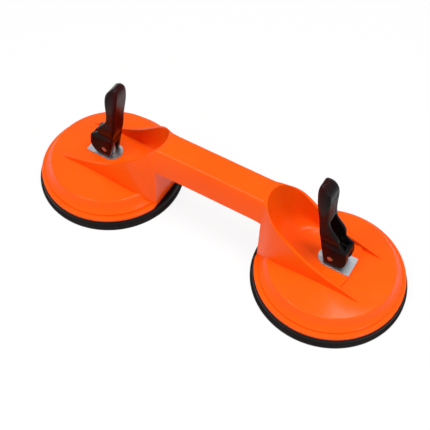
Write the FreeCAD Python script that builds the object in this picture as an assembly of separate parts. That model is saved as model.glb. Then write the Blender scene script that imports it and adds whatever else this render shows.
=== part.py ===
"""Two-cup suction lifter for floor tiles.

One moulding carries two domed cups joined by a raised grip.  On each cup a cam lever
stands on a steel wear plate and pulls a stem up through the dome, which lifts the
middle of a rubber pad.  Millimetres, +Z up, origin on the floor midway between the
cups, +X through the right cup.  Each cup is drawn about its own axis with +X pointing
away from the grip, then turned and moved to its side.
"""
import FreeCAD, Part
import math
import os

V = FreeCAD.Vector
Y_AXIS = V(0, 1, 0)
Z_AXIS = V(0, 0, 1)
ORIGIN = V(0, 0, 0)

# ---------------------------------------------------------------- overall
CUP_SPACING = 197.0
WALL = 2.8
SEAT_GAP = 0.25          # parting gap between faces of pieces that move apart
CUT_PAST = 5.0           # how far a cutting shape reaches past the faces it opens

# ---------------------------------------------------------------- rubber pad
PAD_R = 59.0
PAD_H = 8.5
PAD_DISC_T = 3.0
PAD_RIM_W = 8.5
PAD_LIP_H = 3.2
PAD_LIP_STEP = 1.6

# ---------------------------------------------------------------- dome of a cup
FLANGE_R = 56.6
FLANGE_H = 3.0
FLANGE_CHAMFER = 0.9
GROOVE_R = 53.2
GROOVE_H = 1.4
BAND_SPLIT_R = 50.2
BAND_SPLIT_Z = 15.6
DOME_EDGE_R = 47.5
DOME_EDGE_Z = 22.5
DOME_EDGE_ROUND = 2.0
DOME_SLOPE = 0.09

# ---------------------------------------------------------------- grip
GRIP_TOP_Z = 70.0
GRIP_BOTTOM_Z = 48.0
GRIP_TOP_HALF = 10.6
GRIP_BOTTOM_HALF = 13.6
GRIP_CORNER_R = 2.6
GRIP_RIBS = 5
GRIP_RIB_T = 2.0
GRIP_RIB_RECESS = 5.0

# ---------------------------------------------------------------- skirt and scoop of a cup
SKIRT_END_X = -53.3
SKIRT_ROOT_X = -62.0
WING_TIP_X = 33.0
SCOOP_WALL = 2.5
SCOOP_END_DEPTH = 17.5
SCOOP_ARCS = 6
PLATFORM_Z = 27.0
PLATFORM_END_X = 17.2
PLATFORM_END_R = 75.0
# distance from the cup axis, widening of the skirt beyond the grip at its foot,
# at the grip's underside and at the grip's top
SKIRT_FLARE = [
    (SKIRT_ROOT_X, 1.5, 0.0, 0.0),
    (-57.5, 1.6, 0.1, 0.1),
    (SKIRT_END_X, 2.2, 0.6, 0.6),
    (-49.5, 4.6, 2.4, 2.4),
    (-45.5, 7.0, 5.0, 4.9),
    (-41.0, 8.6, 7.0, 7.4),
    (-36.0, 9.3, 8.1, 9.1),
    (-30.0, 9.5, 8.3, 9.9),
]
WING_TAPER = 0.9
SKIRT_FOOT_Z = PAD_H + 1.0    # inside the flange
# height of the rim along the skirt and the wings
RIM_LINE = [(-57.0, 70.4), (-53.0, 69.0), (-46.5, 64.6), (-38.5, 58.8), (-30.0, 52.4),
            (-21.5, 45.8), (-12.0, 39.6), (0.0, 34.1), (14.0, 29.6), (WING_TIP_X, 22.6)]
# back wall of the scoop: height, farthest point from the lever
SCOOP_BACK = [(PLATFORM_Z, -31.0), (29.0, -37.0), (33.0, -42.5), (39.5, -46.5),
              (48.0, -49.5), (60.0, -52.3), (74.0, -54.8)]

# ---------------------------------------------------------------- wear plate
PLATE_T = 1.2
PLATE_HALF = 8.6
PLATE_ROUND_X = -10.8
PLATE_SQUARE_X = 16.6
PLATE_CORNER_R = 0.8

# ---------------------------------------------------------------- stem, pin and lift
STEM_R = 5.0
BLADE_T = 5.0
PIN_R = 2.5
PIN_INSET = 0.4
PIN_REST = 7.2           # pin above the wear plate with the lever up
LOCK_ANGLE = 98.7        # degrees from lever up to lever down
LOCK_REACH = 12.8        # pin above the wear plate with the lever down
RUN_FIT = 0.05
PRESS_FIT = 0.02
STEM_HOLE_GAP = 0.3
STEM_FOOT = 0.6          # how far the stem reaches below the insert
FLAT_SPARE = 0.5         # flats below the platform with the stem lifted
PIN_CHAMFER = 0.3
GUIDE_R = 7.6
GUIDE_BOTTOM_Z = 17.0

# ---------------------------------------------------------------- lever
CAM_GAP = 0.1            # running gap between the cam and the wear plate
CAM_POINTS = 12
FORK_HALF = 2.9
FORK_CLEAR = 0.6         # gap between the fork and the top of the stem
FORK_STEP = 3.2          # how much higher the slot reaches on the grip side
WEB_T = 2.6
HEEL = (-6.2, -2.2)      # lower corner on the grip side, about the pin
HEEL_FOOT = -2.6         # where its curve meets the cam
HEEL_BULGE = 1.3
SHOULDER_W = 12.6        # top of the cam cheeks above the pin
HOLLOW_TOP_W = 36.5
HOLLOW_FLOOR = 4.0       # depth of the hollow below the shoulder
HOLLOW_NOSE = -3.0       # face of the hollow's upper end
SHOULDER_RIB_T = 4.0
GRIP_GROOVES = 6
GROOVE_W = 0.9
GROOVE_DEEP = 0.5
# sections of the lever: height above the pin, face on the grip side, face away from it,
# half width, corner radius on the grip side, bevel away from it
LEVER_BASE = (SHOULDER_W, -9.4, None, 7.3, 2.4, 0.5)
LEVER_SECTIONS = [
    (22.3, -11.6, 3.6, 7.3, 2.4, 0.6), (33.4, -13.3, -4.3, 7.35, 2.4, 0.9),
    (39.0, -14.0, -6.2, 7.7, 2.4, 1.1), (46.0, -15.1, -7.0, 8.3, 2.5, 1.3),
    (53.0, -16.3, -7.2, 8.6, 2.5, 1.4), (60.0, -17.4, -7.6, 8.2, 2.6, 1.4),
    (65.4, -18.1, -9.1, 7.2, 2.6, 1.4), (69.2, -17.8, -12.4, 5.5, 2.2, 1.3),
    (71.4, -16.6, -14.4, 2.4, 0.8, 0.6),
]
HEAD_FROM_W = 39.0       # grooves of the finger grip begin
HEAD_TO_W = 60.0         # and end

# ---------------------------------------------------------------- pad boss and its insert
BOSS_R = 21.0
BOSS_TOP_Z = 9.6
INSERT_R = 17.0
INSERT_T = 2.2
INSERT_Z = 4.6
NUT_AF = 13.0
NUT_H = 2.9
LOCK_WASHER_T = 0.9
WASHER_R = 14.0
WASHER_BORE_R = 9.2
WASHER_T = 1.0
SPRING_WIRE_R = 0.7
SPRING_R = 10.6
SPRING_TURNS = 3
SPRING_SIDES = 6

# ---------------------------------------------------------------- worked out
HALF_SPACING = CUP_SPACING / 2
PLATE_TOP_Z = PLATFORM_Z + PLATE_T
PIN_Z = PLATE_TOP_Z + PIN_REST
LOCK_TURN = math.radians(LOCK_ANGLE)
LIFT = LOCK_REACH - PIN_REST
CAM_RATE = LIFT / LOCK_TURN
FLANGE_TOP_Z = PAD_H + FLANGE_H
BIG = 200.0
ARC_HANDLE = 4 * (math.sqrt(2) - 1) / 3      # Bezier handle of a quarter circle
END_TANGENT = 10.0       # speed of a curve at its ends, near the spacing of its points


def dome_z(r):
    """Height of the dome's top face at radius r."""
    return DOME_EDGE_Z + DOME_SLOPE * (DOME_EDGE_R - r)


def polygon(points):
    """Closed wire of straight edges."""
    corners = [V(*p) for p in points]
    return Part.makePolygon(corners + [corners[0]])


def face(*wires):
    return Part.Face(list(wires))


def curve_through(points, start, end):
    """Edge through the points, evenly parametrised, so that stacked ones loft cleanly."""
    curve = Part.BSplineCurve()
    curve.interpolate(points, InitialTangent=start * END_TANGENT,
                      FinalTangent=end * END_TANGENT,
                      Parameters=[float(i) for i in range(len(points))])
    return curve.toShape()


def cylinder(radius, z_low, z_high, x=0.0, y=0.0):
    return Part.makeCylinder(radius, z_high - z_low, V(x, y, z_low))


def box(x0, x1, y0, y1, z0, z1):
    return Part.makeBox(x1 - x0, y1 - y0, z1 - z0, V(x0, y0, z0))


def ring(outer_r, inner_r, z_low, z_high):
    return cylinder(outer_r, z_low, z_high).cut(cylinder(inner_r, z_low - 1, z_high + 1))


def turned(points):
    """Solid turned about the cup axis from points (r, z)."""
    return face(polygon([(r, 0, z) for r, z in points])).revolve(ORIGIN, Z_AXIS, 360)


# ---------------------------------------------------------------- body moulding
def dome_outer():
    """Dome, bands and flange of one cup, without its hollow."""
    side = V(DOME_EDGE_R - BAND_SPLIT_R, 0, DOME_EDGE_Z - BAND_SPLIT_Z).normalize()
    top = V(-1, 0, DOME_SLOPE).normalize()
    corner = V(DOME_EDGE_R, 0, DOME_EDGE_Z)
    half_turn = side.getAngle(top) / 2
    start = corner - side * DOME_EDGE_ROUND * math.tan(half_turn)
    end = corner + top * DOME_EDGE_ROUND * math.tan(half_turn)
    inward = (top - side).normalize()
    centre = corner + inward * (DOME_EDGE_ROUND / math.cos(half_turn))
    middle = centre - inward * DOME_EDGE_ROUND
    lower = [V(r, 0, z) for r, z in [
        (0, PAD_H), (FLANGE_R, PAD_H), (FLANGE_R, FLANGE_TOP_Z - FLANGE_CHAMFER),
        (FLANGE_R - FLANGE_CHAMFER, FLANGE_TOP_Z), (GROOVE_R, FLANGE_TOP_Z),
        (GROOVE_R, FLANGE_TOP_Z + GROOVE_H), (BAND_SPLIT_R, BAND_SPLIT_Z)]] + [start]
    upper = [end, V(0, 0, dome_z(0)), lower[0]]
    edges = [Part.makeLine(a, b) for a, b in zip(lower, lower[1:])]
    edges += [Part.Arc(start, middle, end).toShape()]
    edges += [Part.makeLine(a, b) for a, b in zip(upper, upper[1:])]
    return face(Part.Wire(edges)).revolve(ORIGIN, Z_AXIS, 360)


def dome_hollow():
    """Space inside one cup."""
    return turned([
        (0, PAD_H - 1), (GROOVE_R - WALL, PAD_H - 1), (GROOVE_R - WALL, FLANGE_TOP_Z),
        (BAND_SPLIT_R - WALL, BAND_SPLIT_Z - 0.6 * WALL),
        (DOME_EDGE_R - WALL, DOME_EDGE_Z - WALL), (0, dome_z(0) - WALL),
    ])


def skirt_half_width(station, z, inset):
    """Half width of the skirt at one station of its flare and height z."""
    x, foot, mid, top = station
    foot_y = GRIP_BOTTOM_HALF + foot
    mid_y = GRIP_BOTTOM_HALF + mid
    top_y = GRIP_TOP_HALF + top
    if z > GRIP_BOTTOM_Z:
        part = (z - GRIP_BOTTOM_Z) / (GRIP_TOP_Z - GRIP_BOTTOM_Z)
        return mid_y + part * (top_y - mid_y) - inset
    part = (z - SKIRT_FOOT_Z) / (GRIP_BOTTOM_Z - SKIRT_FOOT_Z)
    return foot_y + part * (mid_y - foot_y) - inset


def skirt_plan(z, inset):
    """Plan of the skirt at height z: grip width at one end, wings at the other."""
    flare = [(s[0], skirt_half_width(s, z, inset)) for s in SKIRT_FLARE]
    side = curve_through([V(x, y, z) for x, y in flare], V(1, 0, 0), V(1, 0, 0))
    other = curve_through([V(x, -y, z) for x, y in flare], V(1, 0, 0), V(1, 0, 0))
    x0, y0 = flare[0]
    x1, y1 = flare[-1]
    tip = V(WING_TIP_X, y1 - WING_TAPER, z)
    tip_other = V(WING_TIP_X, WING_TAPER - y1, z)
    return Part.Wire([
        side, Part.makeLine(V(x1, y1, z), tip), Part.makeLine(tip, tip_other),
        Part.makeLine(tip_other, V(x1, -y1, z)), other,
        Part.makeLine(V(x0, -y0, z), V(x0, y0, z))])


def skirt_loft(inset):
    """Solid skirt from its foot to the grip's top, drawn in by inset on all sides."""
    levels = [SKIRT_FOOT_Z, (SKIRT_FOOT_Z + GRIP_BOTTOM_Z) / 2, GRIP_BOTTOM_Z, GRIP_TOP_Z - inset]
    solid = Part.makeLoft([skirt_plan(z, inset) for z in levels], True, False)
    corner = max(GRIP_CORNER_R - inset, 0.6)
    edges = [e for e in solid.Edges
             if e.BoundBox.ZMin > levels[-1] - 1e-3 and e.BoundBox.XMax < WING_TIP_X - 1
             and e.BoundBox.XLength > 1]
    return solid.makeFillet(corner, edges)


def under_rim():
    """Everything below the rim line, as a slab across the cup."""
    curve = Part.BSplineCurve()
    curve.interpolate([V(x, -BIG, z) for x, z in RIM_LINE])
    x0, z0 = RIM_LINE[0]
    x1, z1 = RIM_LINE[-1]
    corners = [V(x1, -BIG, z1), V(x1, -BIG, 0), V(SKIRT_ROOT_X - 1, -BIG, 0),
               V(SKIRT_ROOT_X - 1, -BIG, z0), V(x0, -BIG, z0)]
    edges = [curve.toShape()] + [Part.makeLine(a, b) for a, b in zip(corners, corners[1:])]
    return face(Part.Wire(edges)).extrude(V(0, 2 * BIG, 0))


def scoop_half_width(z):
    """Half the inner width of the scoop where its walls run straight."""
    return skirt_half_width(SKIRT_FLARE[-1], min(z, GRIP_BOTTOM_Z), SCOOP_WALL)


def scoop_wire(z, back_x, grow, open_x):
    """Plan of the scoop at height z: straight sides, round back, open towards the lever."""
    w = scoop_half_width(z) + grow
    end_x = back_x - grow
    centre_x = back_x + SCOOP_END_DEPTH
    d = centre_x - end_x
    points = [V(centre_x - d * math.sin(t), w * math.cos(t), z)
              for t in [math.pi * i / SCOOP_ARCS for i in range(SCOOP_ARCS + 1)]]
    end = curve_through(points, V(-1, 0, 0), V(1, 0, 0))
    far = V(open_x, w, z)
    near = V(open_x, -w, z)
    return Part.Wire([Part.makeLine(far, points[0]), end,
                      Part.makeLine(points[-1], near), Part.makeLine(near, far)])


def scoop(grow=0.0, open_x=WING_TIP_X + CUT_PAST):
    """Space of the scoop, from the platform up, grown by a wall where asked."""
    levels = [(z - grow if i == 0 else z, x) for i, (z, x) in enumerate(SCOOP_BACK)]
    wires = [scoop_wire(z, x, grow, open_x) for z, x in levels]
    return Part.makeLoft(wires, True, False)


def skirt():
    """Skirt, scoop walls, wings and lever platform of one cup."""
    solid = skirt_loft(0.0).common(under_rim())
    solid = solid.cut(scoop())
    past_x = WING_TIP_X + CUT_PAST
    past = box(0, past_x, -BIG, BIG, 0, PLATFORM_Z + 1)
    past = past.cut(cylinder(PLATFORM_END_R, -1, BIG, PLATFORM_END_X - PLATFORM_END_R))
    w = scoop_half_width(PLATFORM_Z)
    return solid.cut(past.common(box(0, past_x, -w, w, 0, BIG)))


def skirt_hollow():
    """Space under the scoop, reached from below."""
    space = skirt_loft(WALL)
    space = space.common(box(SKIRT_END_X + WALL, -GUIDE_R - WALL, -BIG, BIG, 0, BIG))
    return space.cut(scoop(WALL))


def cup_body():
    """One cup of the moulding with its skirt, about its own axis, flat under the grip."""
    under_grip = box(-BIG, SKIRT_END_X, -BIG, BIG, 0, GRIP_BOTTOM_Z)
    outer = dome_outer().fuse(skirt()).cut(under_grip)
    void = dome_hollow().fuse(skirt_hollow())
    guide = cylinder(GUIDE_R, GUIDE_BOTTOM_Z, PLATFORM_Z - WALL / 2)
    solid = outer.cut(void).fuse(guide)
    return solid.cut(cylinder(STEM_R + RUN_FIT, 0, PLATFORM_Z + 1))


def grip_bar(inset, reach):
    """Straight bar with the section of the skirt's root, from -reach to reach."""
    end = [f for f in skirt_loft(inset).Faces if f.BoundBox.XMax < SKIRT_ROOT_X + 1e-3][0]
    end.translate(V(-reach - SKIRT_ROOT_X, 0, 0))
    return end.extrude(V(2 * reach, 0, 0))


def grip():
    """Raised grip between the cups, solid."""
    outer = grip_bar(0.0, HALF_SPACING + SKIRT_ROOT_X)
    return outer.common(box(-BIG, BIG, -BIG, BIG, GRIP_BOTTOM_Z, BIG))


def grip_channel():
    """Channel in the underside of the grip and of both skirt roots, less its ribs."""
    reach = HALF_SPACING + SKIRT_END_X - WALL
    channel = grip_bar(WALL, reach).common(box(-BIG, BIG, -BIG, BIG, GRIP_BOTTOM_Z - 1, BIG))
    step = 2 * reach / (GRIP_RIBS + 1)
    for i in range(GRIP_RIBS):
        x = -reach + step * (i + 1)
        channel = channel.cut(box(x - GRIP_RIB_T / 2, x + GRIP_RIB_T / 2, -BIG, BIG,
                                  GRIP_BOTTOM_Z + GRIP_RIB_RECESS, BIG))
    return channel


def place(shape, side):
    """Turn and move a cup-centred shape to the left (-1) or right (+1) cup."""
    moved = shape.copy()
    if side < 0:
        moved.rotate(ORIGIN, Z_AXIS, 180)
    moved.translate(V(side * HALF_SPACING, 0, 0))
    return moved


def body_moulding():
    cup = cup_body()
    solid = grip().fuse([place(cup, -1), place(cup, 1)])
    return solid.cut(grip_channel())


# ---------------------------------------------------------------- plate, stem and pin
def wear_plate():
    """D-shaped steel plate under the cam, round end towards the grip."""
    centre_x = PLATE_ROUND_X + PLATE_HALF
    h = PLATE_HALF
    arc = Part.Arc(V(centre_x, h, 0), V(PLATE_ROUND_X, 0, 0), V(centre_x, -h, 0)).toShape()
    lines = [Part.makeLine(V(centre_x, -h, 0), V(PLATE_SQUARE_X, -h, 0)),
             Part.makeLine(V(PLATE_SQUARE_X, -h, 0), V(PLATE_SQUARE_X, h, 0)),
             Part.makeLine(V(PLATE_SQUARE_X, h, 0), V(centre_x, h, 0))]
    plate = face(Part.Wire([arc] + lines)).extrude(V(0, 0, PLATE_T))
    plate.translate(V(0, 0, PLATFORM_Z))
    corners = [e for e in plate.Edges
               if e.BoundBox.XMin > PLATE_SQUARE_X - 1e-3 and e.BoundBox.ZLength > PLATE_T / 2
               and e.BoundBox.YLength < 1e-3]
    plate = plate.makeFillet(PLATE_CORNER_R, corners)
    return plate.cut(cylinder(STEM_R + STEM_HOLE_GAP, 0, BIG))


def pull_stem():
    """Round stem with two flats and a pin eye at the top."""
    foot_z = INSERT_Z - STEM_FOOT
    flat_z = PLATFORM_Z - LIFT - FLAT_SPARE
    stem = cylinder(STEM_R, foot_z, PIN_Z + STEM_R)
    blade = BLADE_T / 2
    for side in (-1, 1):
        edge = sorted([side * blade, side * 2 * STEM_R])
        stem = stem.cut(box(-BIG, BIG, edge[0], edge[1], flat_z, BIG))
    top = Part.makeCylinder(STEM_R, 2 * STEM_R, V(0, -STEM_R, PIN_Z), Y_AXIS)
    keep = top.fuse(box(-BIG, BIG, -BIG, BIG, 0, PIN_Z))
    stem = stem.common(keep)
    eye = Part.makeCylinder(PIN_R + RUN_FIT, 4 * STEM_R, V(0, -2 * STEM_R, PIN_Z), Y_AXIS)
    return stem.cut(eye).removeSplitter()


def lever_pin():
    length = 2 * (LEVER_BASE[3] - PIN_INSET)
    pin = Part.makeCylinder(PIN_R, length, V(0, -length / 2, PIN_Z), Y_AXIS)
    return pin.makeChamfer(PIN_CHAMFER, [e for e in pin.Edges if e.BoundBox.YLength < 1e-6])


# ---------------------------------------------------------------- cam lever
def cam_point(turn):
    """Point of the cam that bears on the plate after the lever has turned."""
    reach = PIN_REST - CAM_GAP + CAM_RATE * turn
    return (reach * math.sin(turn) + CAM_RATE * math.cos(turn),
            -reach * math.cos(turn) + CAM_RATE * math.sin(turn))


def shoulder_away():
    """Face of the shoulder away from the grip: it lies on the plate with the lever down."""
    end = cam_point(LOCK_TURN)
    return end[0] - (SHOULDER_W - end[1]) * math.tan(LOCK_TURN - math.pi / 2)


def slab(wire, half):
    """Solid across the lever between -half and half from a side outline."""
    moved = wire.copy()
    moved.translate(V(0, -half, 0))
    return face(moved).extrude(V(0, 2 * half, 0))


def quarter_round(centre, first, last, r):
    """Quarter of a circle as a Bezier curve, from one direction to the next."""
    arc = Part.BezierCurve()
    arc.setPoles([centre + first * r, centre + (first + last * ARC_HANDLE) * r,
                  centre + (last + first * ARC_HANDLE) * r, centre + last * r])
    return arc.toShape()


def lever_section(w, grip_side, away, half, grip_r, bevel):
    """Section across the lever at height w: round towards the grip, bevelled away from it."""
    u = grip_side + grip_r
    y = half - grip_r
    points = [V(away, bevel - half, w), V(away, half - bevel, w), V(away - bevel, half, w),
              V(u, half, w), V(grip_side, y, w), V(grip_side, -y, w),
              V(u, -half, w), V(away - bevel, -half, w)]
    edges = [Part.makeLine(a, b) for a, b in zip(points, points[1:] + points[:1])]
    edges[3] = quarter_round(V(u, y, w), V(0, 1, 0), V(-1, 0, 0), grip_r)
    edges[5] = quarter_round(V(u, -y, w), V(-1, 0, 0), V(0, -1, 0), grip_r)
    return Part.Wire(edges)


def lever_arm():
    """Lever above its shoulder: curved arm and domed head."""
    base = LEVER_BASE[:2] + (shoulder_away(),) + LEVER_BASE[3:]
    return Part.makeLoft([lever_section(*s) for s in [base] + LEVER_SECTIONS], True, False)


def lever_cheeks():
    """Lever below its shoulder: cam towards the plate, rounded towards the grip."""
    cam = [cam_point(LOCK_TURN * i / CAM_POINTS) for i in range(CAM_POINTS + 1)]
    curve = Part.BSplineCurve()
    curve.interpolate([V(u, 0, w) for u, w in cam])
    foot_w = cam[0][1]
    far = 2 * SHOULDER_W
    heel = V(HEEL[0], 0, HEEL[1])
    heel_foot = V(HEEL_FOOT, 0, foot_w)
    heel_mid = (heel + heel_foot) / 2 - V(1, 0, 1).normalize() * HEEL_BULGE
    corners = [V(cam[-1][0], 0, cam[-1][1]), V(shoulder_away(), 0, SHOULDER_W),
               V(-far, 0, SHOULDER_W), V(-far, 0, HEEL[1]), heel]
    edges = [curve.toShape()]
    edges += [Part.makeLine(a, b) for a, b in zip(corners, corners[1:])]
    edges += [Part.Arc(heel, heel_mid, heel_foot).toShape(),
              Part.makeLine(heel_foot, V(cam[0][0], 0, foot_w))]
    grip_side, half, grip_r = LEVER_BASE[1], LEVER_BASE[3], LEVER_BASE[4]
    slope = (grip_side - HEEL[0]) / (SHOULDER_W - HEEL[1])
    low_w = foot_w - CUT_PAST
    low = lever_section(low_w, HEEL[0] + slope * (low_w - HEEL[1]), far, half, grip_r, 1.0)
    high = lever_section(SHOULDER_W, grip_side, far, half, grip_r, 1.0)
    return slab(Part.Wire(edges), half + 1).common(Part.makeLoft([low, high], True, True))


def lever_hollow():
    """Open channel between the cheeks, behind the cross rib at the shoulder."""
    wall = [(s[1] + WEB_T, s[0]) for s in LEVER_SECTIONS if s[0] < HOLLOW_TOP_W + 3]
    rib_u = cam_point(LOCK_TURN)[0] - SHOULDER_RIB_T
    floor_w = SHOULDER_W - HOLLOW_FLOOR
    away = [(rib_u, floor_w), (rib_u, SHOULDER_W - 1.0), (BIG, SHOULDER_W + 1.6),
            (BIG, HOLLOW_TOP_W), (HOLLOW_NOSE, HOLLOW_TOP_W)]
    foot = (LEVER_BASE[1] + WEB_T + 0.6, floor_w)
    points = away + wall[::-1] + [foot]
    return slab(polygon([(u, 0, w) for u, w in points]), LEVER_BASE[3] - WEB_T)


def lever_fork():
    """Slot that straddles the stem, open below, on the cam side and on the grip side."""
    top = STEM_R + FORK_CLEAR
    wire = polygon([(-BIG, 0, -BIG), (BIG, 0, -BIG), (BIG, 0, top), (STEM_R + 1, 0, top + FORK_STEP),
                    (-BIG, 0, top + FORK_STEP)])
    return slab(wire, FORK_HALF)


def away_at(w):
    """Face of the lever away from the grip at height w, between two of its sections."""
    low = [s for s in LEVER_SECTIONS if s[0] <= w][-1]
    high = [s for s in LEVER_SECTIONS if s[0] > w][0]
    return low[2] + (w - low[0]) / (high[0] - low[0]) * (high[2] - low[2])


def head_grooves():
    """Lengthwise grooves of the finger grip, following the face of the head."""
    between = [s for s in LEVER_SECTIONS if HEAD_FROM_W < s[0] < HEAD_TO_W]
    heights = [HEAD_FROM_W] + [s[0] for s in between] + [HEAD_TO_W]
    outside = [(away_at(w) + CUT_PAST, w) for w in heights]
    bottom = [(away_at(w) - GROOVE_DEEP, w) for w in heights]
    wire = polygon([(u, 0, w) for u, w in outside + bottom[::-1]])
    pitch = 2 * (between[0][3] - between[0][5]) / GRIP_GROOVES
    grooves = []
    for i in range(GRIP_GROOVES):
        groove = slab(wire, GROOVE_W / 2)
        groove.translate(V(0, pitch * (i - (GRIP_GROOVES - 1) / 2), 0))
        grooves.append(groove)
    return grooves


def cam_lever():
    solid = lever_arm().fuse(lever_cheeks())
    solid = solid.cut([lever_hollow(), lever_fork()])
    solid = solid.cut(head_grooves())
    solid = solid.cut(Part.makeCylinder(PIN_R + PRESS_FIT, BIG, V(0, -BIG / 2, 0), Y_AXIS))
    solid.translate(V(0, 0, PIN_Z))
    return solid


# ---------------------------------------------------------------- pad and what it holds
def rubber_pad():
    """Flat disc with a thick rim that the flange sits on and a thin sealing lip."""
    rim_r = PAD_R - PAD_LIP_STEP
    return turned([
        (0, 0), (PAD_R - 0.8, 0), (PAD_R, 0.9), (PAD_R, PAD_LIP_H - 0.7), (PAD_R - 0.6, PAD_LIP_H),
        (rim_r, PAD_LIP_H + 0.9), (rim_r, PAD_H), (PAD_R - PAD_RIM_W, PAD_H),
        (PAD_R - PAD_RIM_W - 1.5, PAD_DISC_T), (0, PAD_DISC_T),
    ])


def pad_boss():
    """Rubber round the insert, the part of the pad that the stem lifts."""
    low = PAD_DISC_T + SEAT_GAP
    boss = turned([(0, low), (BOSS_R, low), (BOSS_R - 1.0, BOSS_TOP_Z - 1.5),
                   (BOSS_R - 2.2, BOSS_TOP_Z), (0, BOSS_TOP_Z)])
    pocket = cylinder(INSERT_R, INSERT_Z, INSERT_Z + INSERT_T)
    well = cylinder(WASHER_BORE_R, INSERT_Z, BOSS_TOP_Z + 1)
    foot = cylinder(STEM_R, INSERT_Z - STEM_FOOT, INSERT_Z + 1)
    return boss.cut(pocket).cut(well).cut(foot)


def pad_insert():
    """Steel disc moulded into the boss; the stem screws into it."""
    return ring(INSERT_R, STEM_R, INSERT_Z, INSERT_Z + INSERT_T)


def stem_lock_washer():
    low = INSERT_Z + INSERT_T
    return ring(NUT_AF / 2 + 0.6, STEM_R, low, low + LOCK_WASHER_T)


def stem_nut():
    low = INSERT_Z + INSERT_T + LOCK_WASHER_T
    corner = NUT_AF / 2 / math.cos(math.pi / 6)
    points = [(corner * math.cos(math.pi * i / 3), corner * math.sin(math.pi * i / 3), low)
              for i in range(6)]
    nut = face(polygon(points)).extrude(V(0, 0, NUT_H))
    return nut.cut(cylinder(STEM_R, 0, BIG))


def spring_washer():
    return ring(WASHER_R, WASHER_BORE_R, BOSS_TOP_Z, BOSS_TOP_Z + WASHER_T)


def return_spring():
    """Compression spring between the washer and the underside of the dome."""
    low = BOSS_TOP_Z + WASHER_T + SPRING_WIRE_R
    high = dome_z(SPRING_R) - WALL - SPRING_WIRE_R - 0.1
    pitch = (high - low) / SPRING_TURNS
    path = Part.makeHelix(pitch, high - low, SPRING_R)
    path.translate(V(0, 0, low))
    around = [2 * math.pi * i / SPRING_SIDES for i in range(SPRING_SIDES)]
    section = polygon([(SPRING_R + SPRING_WIRE_R * math.cos(t), 0,
                        low + SPRING_WIRE_R * math.sin(t)) for t in around])
    return Part.Wire(path.Edges).makePipeShell([section], True, True)


CUP_PARTS = {
    "wear_plate": wear_plate,
    "pull_stem": pull_stem,
    "lever_pin": lever_pin,
    "cam_lever": cam_lever,
    "rubber_pad": rubber_pad,
    "pad_boss": pad_boss,
    "pad_insert": pad_insert,
    "stem_lock_washer": stem_lock_washer,
    "stem_nut": stem_nut,
    "spring_washer": spring_washer,
    "return_spring": return_spring,
}


def main():
    os.makedirs("parts", exist_ok=True)
    nodes = {"body_moulding": body_moulding()}
    for name, make in CUP_PARTS.items():
        shape = make()
        nodes["left_" + name] = place(shape, -1)
        nodes["right_" + name] = place(shape, 1)
    for name, shape in nodes.items():
        shape.exportStep(os.path.join("parts", name + ".step"))
        print(name, "valid", shape.isValid(), "solids", len(shape.Solids),
              "volume", round(shape.Volume, 1))


main()
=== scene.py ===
"""Studio scene of a two-cup suction lifter for floor tiles.

An orange moulding, two black cam levers on bright steel plates and two black rubber
pads, on a white floor under soft light.  Metres, +Z up, floor at Z = 0.
"""
import math

import bmesh
import bpy
from mathutils import Matrix, Vector


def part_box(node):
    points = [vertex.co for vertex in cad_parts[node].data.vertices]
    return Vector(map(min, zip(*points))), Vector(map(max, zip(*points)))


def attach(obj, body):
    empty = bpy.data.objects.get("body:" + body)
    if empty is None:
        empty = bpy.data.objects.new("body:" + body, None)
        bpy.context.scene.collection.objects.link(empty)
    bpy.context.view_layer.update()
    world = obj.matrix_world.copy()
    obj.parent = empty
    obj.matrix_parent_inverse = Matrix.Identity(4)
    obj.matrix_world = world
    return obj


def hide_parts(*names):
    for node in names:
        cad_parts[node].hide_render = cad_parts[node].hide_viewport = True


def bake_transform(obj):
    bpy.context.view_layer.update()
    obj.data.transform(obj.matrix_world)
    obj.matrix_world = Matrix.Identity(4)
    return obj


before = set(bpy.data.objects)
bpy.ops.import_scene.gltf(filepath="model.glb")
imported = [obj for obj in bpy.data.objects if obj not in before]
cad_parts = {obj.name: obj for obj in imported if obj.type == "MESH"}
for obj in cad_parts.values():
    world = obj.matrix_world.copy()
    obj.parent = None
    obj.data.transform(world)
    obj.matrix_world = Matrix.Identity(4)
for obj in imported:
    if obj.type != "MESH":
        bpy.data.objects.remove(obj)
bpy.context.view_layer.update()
SIDES = ("left", "right")

# ---------------------------------------------------------------- the camera
# degrees: azimuth from the front, -Y, towards +X; elevation above the floor; roll
CAMERA_AZIMUTH = 30.19
CAMERA_ELEVATION = 53.91
CAMERA_ROLL = 0.96
CAMERA_DISTANCE = 0.6309
CAMERA_TARGET = Vector((-0.00076, 0.0, 0.00974))
CAMERA_LENS = 67.77
CAMERA_NEAR = 0.01
CAMERA_FAR = 20.0

# ---------------------------------------------------------------- colours, linear
ORANGE = (0.93, 0.088, 0.0020, 1.0)
ORANGE_PALE = (0.95, 0.100, 0.0035, 1.0)
LEVER_BLACK = (0.0045, 0.0040, 0.0042, 1.0)
# painted reflection: the orange moulding's light on the lever, as a brown tone
LEVER_PAINTED_REFLECTION = (0.036, 0.0012, 0.0009, 1.0)
RUBBER_BLACK = (0.0055, 0.0035, 0.0038, 1.0)
RUBBER_DUSTY = (0.0090, 0.0060, 0.0062, 1.0)
STEEL = (0.50, 0.52, 0.55, 1.0)
STEEL_DULL = (0.30, 0.32, 0.36, 1.0)
ZINC = (0.46, 0.45, 0.42, 1.0)
ZINC_DULL = (0.30, 0.29, 0.27, 1.0)
WHITE = (1.0, 1.0, 1.0, 1.0)
FLOOR_WHITE = (0.80, 0.80, 0.80, 1.0)


# ---------------------------------------------------------------- node helpers
# the colour sockets of a Mix node: its other sockets have the same names
MIX_FIRST = 6
MIX_SECOND = 7
MIX_RESULT = 2


def link(tree, output, socket):
    tree.links.new(output, socket)


def add_node(tree, kind, values=None, **settings):
    """New node with its settings and with the values of its unlinked inputs."""
    node = tree.nodes.new(kind)
    for key, value in settings.items():
        setattr(node, key, value)
    for key, value in (values or {}).items():
        node.inputs[key].default_value = value
    return node


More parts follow.
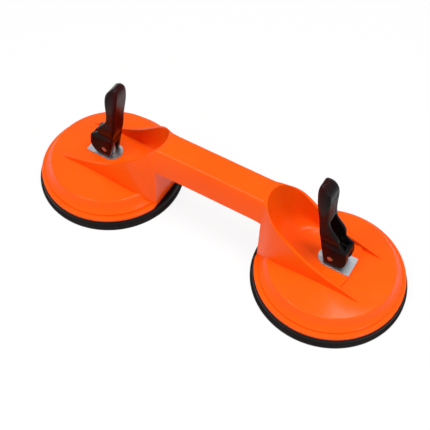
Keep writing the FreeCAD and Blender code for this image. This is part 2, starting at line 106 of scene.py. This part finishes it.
# ---------------------------------------------------------------- the shared surface
SURFACE_INPUTS = (
    ("Position", "NodeSocketVector"),
    ("Colour", "NodeSocketColor"),
    ("Second Colour", "NodeSocketColor"),
    ("Patch Scale", "NodeSocketFloat"),
    ("Roughness", "NodeSocketFloat"),
    ("Roughness Change", "NodeSocketFloat"),
    ("Grain Scale", "NodeSocketFloat"),
    ("Grain Depth", "NodeSocketFloat"),
    ("Wave Depth", "NodeSocketFloat"),
)
SURFACE_OUTPUTS = (
    ("Colour", "NodeSocketColor"),
    ("Roughness", "NodeSocketFloat"),
    ("Normal", "NodeSocketVector"),
)
PATCH_NOISE = {"Detail": 4.0, "Roughness": 0.6}
PATCH_EDGES = {"From Min": 0.35, "From Max": 0.70}
GRAIN_NOISE = {"Detail": 3.0}
WAVE_NOISE = {"Detail": 1.0, "Scale": 45.0}
WAVE_HEIGHT = 0.002
GRAIN_HEIGHT = 0.0002


def surface_group():
    """Shared finish: soft colour variation, uneven gloss, slow waves and a fine grain."""
    group = bpy.data.node_groups.new("moulded_surface", "ShaderNodeTree")
    for direction, sockets in (("INPUT", SURFACE_INPUTS), ("OUTPUT", SURFACE_OUTPUTS)):
        for name, kind in sockets:
            group.interface.new_socket(name=name, in_out=direction, socket_type=kind)
    given = add_node(group, "NodeGroupInput").outputs
    out = add_node(group, "NodeGroupOutput").inputs

    patches = add_node(group, "ShaderNodeTexNoise", PATCH_NOISE)
    link(group, given["Position"], patches.inputs["Vector"])
    link(group, given["Patch Scale"], patches.inputs["Scale"])
    spread = add_node(group, "ShaderNodeMapRange", PATCH_EDGES)
    link(group, patches.outputs["Fac"], spread.inputs["Value"])

    mix = add_node(group, "ShaderNodeMix", data_type="RGBA")
    link(group, spread.outputs["Result"], mix.inputs["Factor"])
    link(group, given["Colour"], mix.inputs[MIX_FIRST])
    link(group, given["Second Colour"], mix.inputs[MIX_SECOND])
    link(group, mix.outputs[MIX_RESULT], out["Colour"])

    gloss = add_node(group, "ShaderNodeMath", operation="MULTIPLY_ADD")
    link(group, spread.outputs["Result"], gloss.inputs[0])
    link(group, given["Roughness Change"], gloss.inputs[1])
    link(group, given["Roughness"], gloss.inputs[2])
    link(group, gloss.outputs["Value"], out["Roughness"])

    wave = add_node(group, "ShaderNodeTexNoise", WAVE_NOISE)
    link(group, given["Position"], wave.inputs["Vector"])
    wave_bump = add_node(group, "ShaderNodeBump", {"Distance": WAVE_HEIGHT})
    link(group, given["Wave Depth"], wave_bump.inputs["Strength"])
    link(group, wave.outputs["Fac"], wave_bump.inputs["Height"])

    grain = add_node(group, "ShaderNodeTexNoise", GRAIN_NOISE)
    link(group, given["Position"], grain.inputs["Vector"])
    link(group, given["Grain Scale"], grain.inputs["Scale"])
    grain_bump = add_node(group, "ShaderNodeBump", {"Distance": GRAIN_HEIGHT})
    link(group, given["Grain Depth"], grain_bump.inputs["Strength"])
    link(group, grain.outputs["Fac"], grain_bump.inputs["Height"])
    link(group, wave_bump.outputs["Normal"], grain_bump.inputs["Normal"])
    link(group, grain_bump.outputs["Normal"], out["Normal"])
    return group


SURFACE = surface_group()


# ---------------------------------------------------------------- materials
def finish_material(name, colour, second, values, metallic=0.0, specular=0.5,
                    stretch=(1.0, 1.0, 1.0)):
    """Principled material fed by the shared surface group on Object coordinates."""
    material = bpy.data.materials.new(name)
    material.use_nodes = True
    tree = material.node_tree
    shader = tree.nodes["Principled BSDF"].inputs
    place = add_node(tree, "ShaderNodeTexCoord")
    mapping = add_node(tree, "ShaderNodeMapping", {"Scale": stretch})
    surface = add_node(tree, "ShaderNodeGroup", node_tree=SURFACE)
    for key, value in {"Colour": colour, "Second Colour": second, **values}.items():
        surface.inputs[key].default_value = value
    link(tree, place.outputs["Object"], mapping.inputs["Vector"])
    link(tree, mapping.outputs["Vector"], surface.inputs["Position"])
    link(tree, surface.outputs["Colour"], shader["Base Color"])
    link(tree, surface.outputs["Roughness"], shader["Roughness"])
    link(tree, surface.outputs["Normal"], shader["Normal"])
    shader["Metallic"].default_value = metallic
    shader["Specular IOR Level"].default_value = specular
    return material


ORANGE_PLASTIC = finish_material(
    "orange_plastic_satin", ORANGE, ORANGE_PALE,
    {"Patch Scale": 22.0, "Roughness": 0.20, "Roughness Change": 0.04,
     "Grain Scale": 2600.0, "Grain Depth": 0.03, "Wave Depth": 0.03}, specular=0.09)
LEVER_PLASTIC = finish_material(
    "lever_plastic_black", LEVER_BLACK, LEVER_BLACK,
    {"Patch Scale": 90.0, "Roughness": 0.22, "Roughness Change": 0.04,
     "Grain Scale": 2200.0, "Grain Depth": 0.02, "Wave Depth": 0.02}, specular=0.07)
PAD_RUBBER = finish_material(
    "pad_rubber_black", RUBBER_BLACK, RUBBER_DUSTY,
    {"Patch Scale": 60.0, "Roughness": 0.34, "Roughness Change": 0.10,
     "Grain Scale": 1800.0, "Grain Depth": 0.08, "Wave Depth": 0.02}, specular=0.07)
PLATE_STEEL = finish_material(
    "plate_steel_bright", STEEL, STEEL_DULL,
    {"Patch Scale": 120.0, "Roughness": 0.30, "Roughness Change": 0.12,
     "Grain Scale": 900.0, "Grain Depth": 0.10, "Wave Depth": 0.02},
    metallic=1.0, stretch=(1.0, 14.0, 1.0))
ZINC_STEEL = finish_material(
    "zinc_steel", ZINC, ZINC_DULL,
    {"Patch Scale": 160.0, "Roughness": 0.34, "Roughness Change": 0.16,
     "Grain Scale": 1500.0, "Grain Depth": 0.08, "Wave Depth": 0.02}, metallic=1.0)

# Painted reflection: a brown tint on the lever stands in for the light of the orange moulding.
# It runs along the distance from the middle of the tool plus a share of the height: LEAN is
# that share, and the tint ends at the number after it and is full at the last one.
LEVER_REFLECTION_LEAN = 0.22
LEVER_REFLECTION_NONE = 0.1130
LEVER_REFLECTION_FULL = 0.0990


def add_lever_painted_reflection(material):
    """Painted reflection of the orange moulding, in brown: strongest on the grip side and at
    the foot.
    """
    tree = material.node_tree
    base = tree.nodes["Principled BSDF"].inputs["Base Color"]
    plain = base.links[0].from_socket
    place = add_node(tree, "ShaderNodeTexCoord")
    split = add_node(tree, "ShaderNodeSeparateXYZ")
    reach = add_node(tree, "ShaderNodeMath", operation="ABSOLUTE")
    slant = add_node(tree, "ShaderNodeMath", {1: LEVER_REFLECTION_LEAN}, operation="MULTIPLY_ADD")
    share = add_node(tree, "ShaderNodeMapRange",
                     {"From Min": LEVER_REFLECTION_NONE, "From Max": LEVER_REFLECTION_FULL},
                     interpolation_type="SMOOTHSTEP")
    mix = add_node(tree, "ShaderNodeMix", data_type="RGBA")
    # the colour of the painted reflection of the orange moulding
    mix.inputs[MIX_SECOND].default_value = LEVER_PAINTED_REFLECTION
    link(tree, place.outputs["Object"], split.inputs["Vector"])
    link(tree, split.outputs["X"], reach.inputs[0])
    link(tree, split.outputs["Z"], slant.inputs[0])
    link(tree, reach.outputs["Value"], slant.inputs[2])
    link(tree, slant.outputs["Value"], share.inputs["Value"])
    link(tree, share.outputs["Result"], mix.inputs["Factor"])
    link(tree, plain, mix.inputs[MIX_FIRST])
    link(tree, mix.outputs[MIX_RESULT], base)


# paints the orange moulding's reflection onto the lever
add_lever_painted_reflection(LEVER_PLASTIC)

NODE_MATERIALS = {
    "body_moulding": ORANGE_PLASTIC,
    "cam_lever": LEVER_PLASTIC,
    "rubber_pad": PAD_RUBBER,
    "pad_boss": PAD_RUBBER,
    "wear_plate": PLATE_STEEL,
}


def dress_nodes():
    """Gives each node its material; the steel pieces that aren't named get zinc."""
    for name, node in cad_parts.items():
        key = name
        for side in SIDES:
            key = key.removeprefix(side + "_")
        material = NODE_MATERIALS.get(key, ZINC_STEEL)
        for slot in node.material_slots:
            slot.material = material


# ---------------------------------------------------------------- finished pieces
WELD = 0.00001                     # points nearer than this are one
SLIVER = 0.00005                   # edges shorter than this are closed up
CUT_SNAP = 0.000001                # points this near a cutting plane lie on it
FLAT_ANGLE = math.radians(1.5)     # facets flatter than this are merged
EDGE_ANGLE = math.radians(32.0)    # edges sharper than this stay crisp or are rounded
ROUND_SEGMENTS = 3
PLATE_ROUND = 0.00015
LEVER_CELL = 0.00028
LEVER_PASSES = 3


def new_piece(name, work, material, body=None):
    """Object from a bmesh, smooth, with its material and slot, riding on its body."""
    for face in work.faces:
        face.smooth = True
    mesh = bpy.data.meshes.new(name)
    work.to_mesh(mesh)
    work.free()
    if "custom_normal" in mesh.attributes:
        mesh.attributes.remove(mesh.attributes["custom_normal"])
    mesh.materials.append(material)
    for face in mesh.polygons:
        face.material_index = 0
    piece = bpy.data.objects.new(name, mesh)
    bpy.context.scene.collection.objects.link(piece)
    if body:
        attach(piece, body)
    return piece


def round_edges(piece, width):
    """Rounds the sharp edges of a piece and evens out its shading beside them."""
    bevel = piece.modifiers.new("rounded_edges", "BEVEL")
    bevel.width = width
    bevel.segments = ROUND_SEGMENTS
    bevel.limit_method = "ANGLE"
    bevel.angle_limit = EDGE_ANGLE
    bevel.loop_slide = False
    bevel.harden_normals = True


def node_copy(node):
    """Bmesh copy of a node's shape with its facets joined."""
    work = bmesh.new()
    work.from_mesh(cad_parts[node].data)
    bmesh.ops.remove_doubles(work, verts=work.verts, dist=WELD)
    return work


def all_parts(work):
    return work.verts[:] + work.edges[:] + work.faces[:]


def even_quarters(work):
    """Keeps the quarter with +x and +y and mirrors it over the other three.

    The node's own scoops lean to one side and their rims are broken through there, so this
    piece differs from its node at the scoops.
    """
    for normal in ((1, 0, 0), (0, 1, 0)):
        bmesh.ops.bisect_plane(work, geom=all_parts(work), dist=CUT_SNAP,
                               plane_co=(0, 0, 0), plane_no=normal, clear_inner=True)
    for axis in ("Y", "X"):
        bmesh.ops.mirror(work, geom=all_parts(work), axis=axis, merge_dist=WELD)
    bmesh.ops.remove_doubles(work, verts=work.verts, dist=WELD)
    bmesh.ops.recalc_face_normals(work, faces=work.faces)


def finished_copy(node, material, body, width=0.0, even=False):
    """Copy of a node's shape with its flat facets merged and its edges crisp or rounded."""
    work = node_copy(node)
    if even:
        even_quarters(work)
    bmesh.ops.dissolve_degenerate(work, dist=SLIVER, edges=work.edges)
    bmesh.ops.dissolve_limit(work, angle_limit=FLAT_ANGLE, use_dissolve_boundaries=False,
                             verts=work.verts, edges=work.edges)
    piece = new_piece(node + "_finished", work, material, body)
    if width:
        round_edges(piece, width)
    else:
        piece.data.set_sharp_from_angle(angle=EDGE_ANGLE)
    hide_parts(node)


def moulded_copy(node, material, body, cell, passes):
    """Copy of a moulded node with the soft edges and creases that its mould leaves."""
    piece = new_piece(node + "_moulded", node_copy(node), material, body)
    cells = piece.modifiers.new("even_cells", "REMESH")
    cells.mode = "VOXEL"
    cells.voxel_size = cell
    cells.use_smooth_shade = True
    soften = piece.modifiers.new("soft_edges", "SMOOTH")
    soften.iterations = passes
    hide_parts(node)


# ---------------------------------------------------------------- rubber pads
PAD_SEGMENTS = 160
PAD_SECTION_RADIUS = 59.0
# radius and height along the section of a pad of that radius: underside, sealing lip, the
# step above it, the rim under the flange, and the flat disc inside
PAD_SECTION = [
    (0.0, 0.35), (30.0, 0.35), (50.0, 0.30), (56.5, 0.0), (58.3, 0.0), (58.8, 0.25),
    (59.0, 0.9), (59.0, 2.1), (58.85, 2.75), (58.4, 3.2), (57.85, 3.45), (57.55, 3.9),
    (57.4, 4.6), (57.4, 7.6), (57.25, 8.15), (56.75, 8.45), (56.0, 8.5), (50.6, 8.5),
    (50.3, 8.2), (49.2, 3.4), (48.6, 3.0), (0.0, 3.0),
]


def spun_profile(work, profile, segments, centre):
    """Closed solid of revolution about +Z through centre from points (radius, height)."""
    verts = [work.verts.new((centre[0] + r, centre[1], z)) for r, z in profile]
    edges = [work.edges.new(pair) for pair in zip(verts, verts[1:])]
    bmesh.ops.spin(work, geom=verts + edges, cent=centre, axis=(0, 0, 1),
                   angle=math.tau, steps=segments, use_merge=True)
    bmesh.ops.remove_doubles(work, verts=work.verts, dist=WELD)
    bmesh.ops.recalc_face_normals(work, faces=work.faces)


def make_pad(side):
    """Rubber pad with its sealing lip, as wide as the node that it stands for."""
    low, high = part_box(side + "_rubber_pad")
    scale = (high.x - low.x) / 2 / PAD_SECTION_RADIUS
    work = bmesh.new()
    spun_profile(work, [(r * scale, z * scale) for r, z in PAD_SECTION], PAD_SEGMENTS,
                 ((low.x + high.x) / 2, 0.0, 0.0))
    piece = new_piece(side + "_pad_moulded", work, PAD_RUBBER, "moulding")
    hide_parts(side + "_rubber_pad")


# ---------------------------------------------------------------- return springs
SPRING_WIRE = 0.0007               # radius of the wire
SPRING_TURNS = 3
SPRING_STEPS = 48                  # steps in one turn
SPRING_ROUND = 10                  # sides of the wire


def make_spring(side):
    """Round-wire spring between the washer on the stem and the roof of the dome."""
    pad_low, pad_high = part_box(side + "_rubber_pad")
    centre_x = (pad_low.x + pad_high.x) / 2
    low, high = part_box(side + "_return_spring")
    radius = (high.x - low.x) / 2 - SPRING_WIRE
    foot = low.z + SPRING_WIRE
    climb = high.z - low.z - 2 * SPRING_WIRE
    work = bmesh.new()
    ring = bmesh.ops.create_circle(work, cap_ends=True, segments=SPRING_ROUND,
                                   radius=SPRING_WIRE)["verts"]
    upright = Matrix.Rotation(math.pi / 2, 4, "X")
    start = Matrix.Translation((centre_x + radius, 0, foot)) @ upright
    bmesh.ops.transform(work, matrix=start, verts=ring)
    steps = SPRING_STEPS * SPRING_TURNS
    bmesh.ops.spin(work, geom=work.faces[:], cent=(centre_x, 0, 0), axis=(0, 0, 1),
                   dvec=(0, 0, climb / steps), angle=math.tau * SPRING_TURNS, steps=steps)
    bmesh.ops.remove_doubles(work, verts=work.verts, dist=WELD)
    bmesh.ops.recalc_face_normals(work, faces=work.faces)
    piece = new_piece(side + "_spring_wound", work, ZINC_STEEL)
    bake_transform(piece)
    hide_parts(side + "_return_spring")


def make_body():
    """The orange moulding, even on all sides, with its flat facets merged."""
    finished_copy("body_moulding", ORANGE_PLASTIC, "moulding", even=True)


def make_cup(side):
    """The pieces of one cup that stand for nodes of the frame."""
    make_pad(side)
    make_spring(side)
    moulded_copy(side + "_cam_lever", LEVER_PLASTIC, side + "_lever",
                 LEVER_CELL, LEVER_PASSES)
    finished_copy(side + "_wear_plate", PLATE_STEEL, "moulding",
                  PLATE_ROUND)


# ---------------------------------------------------------------- the studio
WORLD_FILL = 0.26                  # strength of the surroundings as a lamp
SHADOW_SHARE = 0.12                # how much of a shadow on the floor is seen
FLOOR_RADIUS = 4.0
FLOOR_SEGMENTS = 64
LAMP_AIM = Vector((0.0, 0.0, 0.03))
# name, place, width and height, watts
LAMPS = (
    ("key_softbox", (-0.40, -0.65, 1.10), (0.5, 0.5), 8.0),
    ("top_softbox", (0.35, 0.0, 1.35), (0.5, 0.5), 14.0),
    ("side_softbox", (1.1, -0.35, 0.65), (0.3, 0.5), 2.0),
)


def background_share(tree):
    """Socket that is 1 for rays that should see the white background."""
    path = add_node(tree, "ShaderNodeLightPath")
    socket = path.outputs["Is Camera Ray"]
    for name in ("Is Glossy Ray", "Is Transmission Ray"):
        either = add_node(tree, "ShaderNodeMath", operation="MAXIMUM")
        link(tree, socket, either.inputs[0])
        link(tree, path.outputs[name], either.inputs[1])
        socket = either.outputs["Value"]
    return socket


def white_to_camera(material, shadow_share):
    """White where the camera or a mirror sees it; the rest of the light meets plain diffuse."""
    tree = material.node_tree
    tree.nodes.clear()
    out = add_node(tree, "ShaderNodeOutputMaterial")
    diffuse = add_node(tree, "ShaderNodeBsdfDiffuse", {"Color": FLOOR_WHITE})
    glow = add_node(tree, "ShaderNodeEmission", {"Color": WHITE, "Strength": 1.0})
    share = add_node(tree, "ShaderNodeMath", {1: 1.0 - shadow_share}, operation="MULTIPLY")
    mix = add_node(tree, "ShaderNodeMixShader")
    link(tree, background_share(tree), share.inputs[0])
    link(tree, share.outputs["Value"], mix.inputs["Fac"])
    link(tree, diffuse.outputs["BSDF"], mix.inputs[1])
    link(tree, glow.outputs["Emission"], mix.inputs[2])
    link(tree, mix.outputs["Shader"], out.inputs["Surface"])


def make_floor():
    mesh = bpy.data.meshes.new("floor")
    work = bmesh.new()
    bmesh.ops.create_circle(work, cap_ends=True, segments=FLOOR_SEGMENTS,
                            radius=FLOOR_RADIUS)
    work.to_mesh(mesh)
    work.free()
    floor = bpy.data.objects.new("floor", mesh)
    bpy.context.scene.collection.objects.link(floor)
    paint = bpy.data.materials.new("floor_white")
    paint.use_nodes = True
    white_to_camera(paint, SHADOW_SHARE)
    mesh.materials.append(paint)


def make_world():
    world = bpy.data.worlds.new("studio")
    bpy.context.scene.world = world
    world.use_nodes = True
    tree = world.node_tree
    back = tree.nodes["Background"].inputs
    back["Color"].default_value = WHITE
    level = add_node(tree, "ShaderNodeMapRange", {"To Min": WORLD_FILL, "To Max": 1.0})
    link(tree, background_share(tree), level.inputs["Value"])
    link(tree, level.outputs["Result"], back["Strength"])


def make_lights():
    for name, place, size, power in LAMPS:
        data = bpy.data.lights.new(name, "AREA")
        data.shape = "RECTANGLE"
        data.size, data.size_y = size
        data.energy = power
        light = bpy.data.objects.new(name, data)
        light.location = place
        light.rotation_mode = "QUATERNION"
        light.rotation_quaternion = (LAMP_AIM - Vector(place)).to_track_quat("-Z", "Y")
        bpy.context.scene.collection.objects.link(light)


def make_camera():
    turn = math.radians(CAMERA_AZIMUTH)
    rise = math.radians(CAMERA_ELEVATION)
    level = math.cos(rise)
    back = Vector((math.sin(turn) * level, -math.cos(turn) * level, math.sin(rise)))
    data = bpy.data.cameras.new("camera")
    data.lens = CAMERA_LENS
    data.clip_start = CAMERA_NEAR
    data.clip_end = CAMERA_FAR
    camera = bpy.data.objects.new("camera", data)
    roll = Matrix.Rotation(math.radians(CAMERA_ROLL), 4, "Z")
    facing = (-back).to_track_quat("-Z", "Y").to_matrix().to_4x4()
    place = Matrix.Translation(CAMERA_TARGET + back * CAMERA_DISTANCE)
    camera.matrix_world = place @ facing @ roll
    bpy.context.scene.collection.objects.link(camera)
    bpy.context.scene.camera = camera


dress_nodes()
make_body()
for side_name in SIDES:
    make_cup(side_name)
make_floor()
make_world()
make_lights()
make_camera()
bpy.context.scene.view_settings.view_transform = "Standard"
